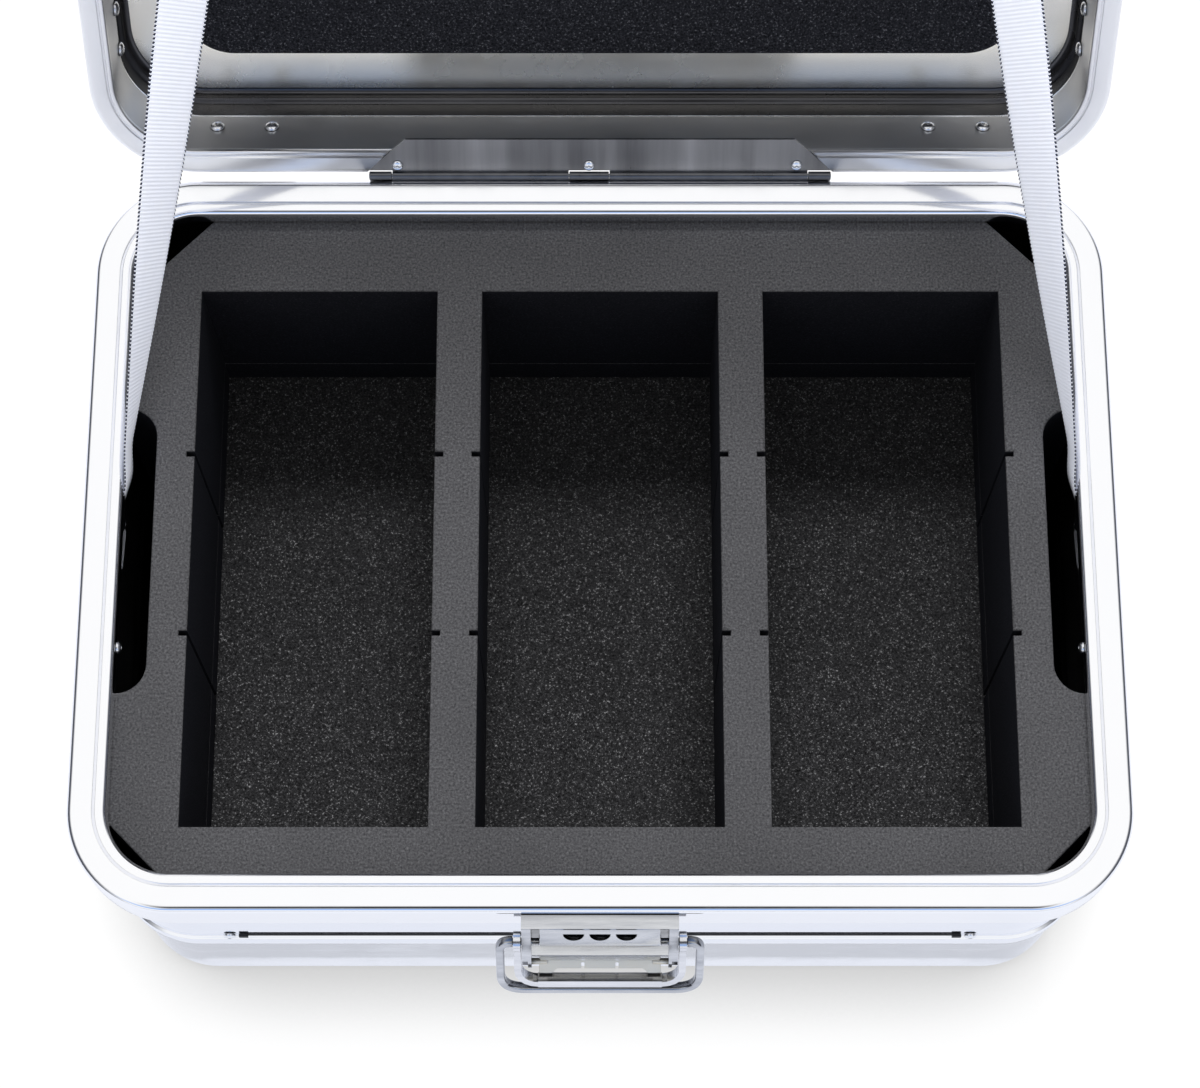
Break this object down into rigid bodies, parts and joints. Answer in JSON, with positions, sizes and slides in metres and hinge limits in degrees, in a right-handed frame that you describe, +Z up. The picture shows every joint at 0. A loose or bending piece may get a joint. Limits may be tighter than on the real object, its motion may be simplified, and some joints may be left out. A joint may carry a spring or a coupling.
{
  "type": "hard case",
  "caption": "Deep rounded aluminium case with hinged lid on webbing straps, divided foam insert and combination draw latch at the front.",
  "frame": {"origin": "middle of the body's underside, on the floor", "axes": "+X to the right along the front, +Y from the front to the hinge, +Z up"},
  "size_m": [0.45, 0.57, 0.4821],
  "materials": {
    "shell": "satin",
    "rim": "polished",
    "steel": "satin",
    "latch": "polished",
    "insert_foam": "matte",
    "backing_foam": "matte",
    "rubber": "matte",
    "dial": "satin",
    "webbing": "matte"
  },
  "bodies": {
    "case_body": {"body_shell": "shell", "body_rim": "rim", "foam_insert_upper": "insert_foam", "foam_insert_lower": "insert_foam", "foam_base": "backing_foam", "front_trim_strip": "rubber", "rear_foot_body_right": "rubber", "rear_foot_body_left": "rubber", "side_rivet_body_right": "steel", "side_rivet_body_left": "steel", "hinge_leaf_body": "steel", "hinge_pin": "steel", "trim_screw_right": "steel", "trim_screw_left": "steel", "strap_rivet_body_right": "steel", "strap_rivet_body_left": "steel", "dial_axle": "steel", "pivot_stud_right": "steel", "pivot_stud_left": "steel", "latch_rivet_right_upper": "steel", "latch_rivet_right_lower": "steel", "latch_rivet_left_upper": "steel", "latch_rivet_left_lower": "steel", "hinge_rivet_body_left": "steel", "hinge_rivet_body_middle": "steel", "hinge_rivet_body_right": "steel", "strap_right": "webbing", "strap_left": "webbing", "latch_base": "latch", "lock_housing": "latch"},
    "lid": {"lid_shell": "shell", "lid_rim": "rim", "lid_foam_pad": "backing_foam", "rear_foot_lid_right": "rubber", "rear_foot_lid_left": "rubber", "side_rivet_lid_right_rear": "steel", "side_rivet_lid_right_front": "steel", "side_rivet_lid_left_rear": "steel", "side_rivet_lid_left_front": "steel", "hinge_leaf_lid": "steel", "foot_rivet_lid_right_outer": "steel", "foot_rivet_lid_right_inner": "steel", "foot_rivet_lid_left_outer": "steel", "foot_rivet_lid_left_inner": "steel", "strap_rivet_lid_right": "steel", "strap_rivet_lid_left": "steel", "strike_rivet_right": "steel", "strike_rivet_left": "steel", "hinge_rivet_lid_left": "steel", "hinge_rivet_lid_middle": "steel", "hinge_rivet_lid_right": "steel", "latch_strike": "latch"},
    "lever": {"latch_lever": "latch"},
    "bail": {"latch_bail": "latch"},
    "release": {"release_plate": "latch"},
    "right_dial": {"dial_right": "dial"},
    "middle_dial": {"dial_middle": "dial"},
    "left_dial": {"dial_left": "dial"},
    "bolt": {"lock_bolt": "steel"}
  },
  "joints": [
    {"name": "lid_hinge", "type": "hinge", "parent": "case_body", "child": "lid", "pos_m": [0, 0.1684, 0.189], "axis": [1, 0, 0], "range_deg": [0, 120], "deforming": ["strap_right", "strap_left"]},
    {"name": "lever_hinge", "type": "hinge", "parent": "case_body", "child": "lever", "pos_m": [0, -0.1751, 0.166], "axis": [-1, 0, 0], "range_deg": [-29.6, 20]},
    {"name": "bail_hinge", "type": "hinge", "parent": "lever", "child": "bail", "pos_m": [0, -0.17604, 0.17102], "axis": [-1, 0, 0], "range_deg": [0, 138.5]},
    {"name": "release_hinge", "type": "hinge", "parent": "case_body", "child": "release", "pos_m": [0, -0.1802, 0.148], "axis": [-1, 0, 0], "range_deg": [0, 12], "stiffness_Nm_per_rad": 0.02},
    {"name": "right_dial_turn", "type": "hinge", "parent": "case_body", "child": "right_dial", "pos_m": [0.0111, -0.175, 0.164], "axis": [1, 0, 0], "continuous": true},
    {"name": "middle_dial_turn", "type": "hinge", "parent": "case_body", "child": "middle_dial", "pos_m": [0, -0.175, 0.164], "axis": [1, 0, 0], "continuous": true},
    {"name": "left_dial_turn", "type": "hinge", "parent": "case_body", "child": "left_dial", "pos_m": [-0.0111, -0.175, 0.164], "axis": [1, 0, 0], "continuous": true},
    {"name": "bolt_slide", "type": "slide", "parent": "case_body", "child": "bolt", "axis": [1, 0, 0], "range_m": [0, 0.0033]}
  ]
}
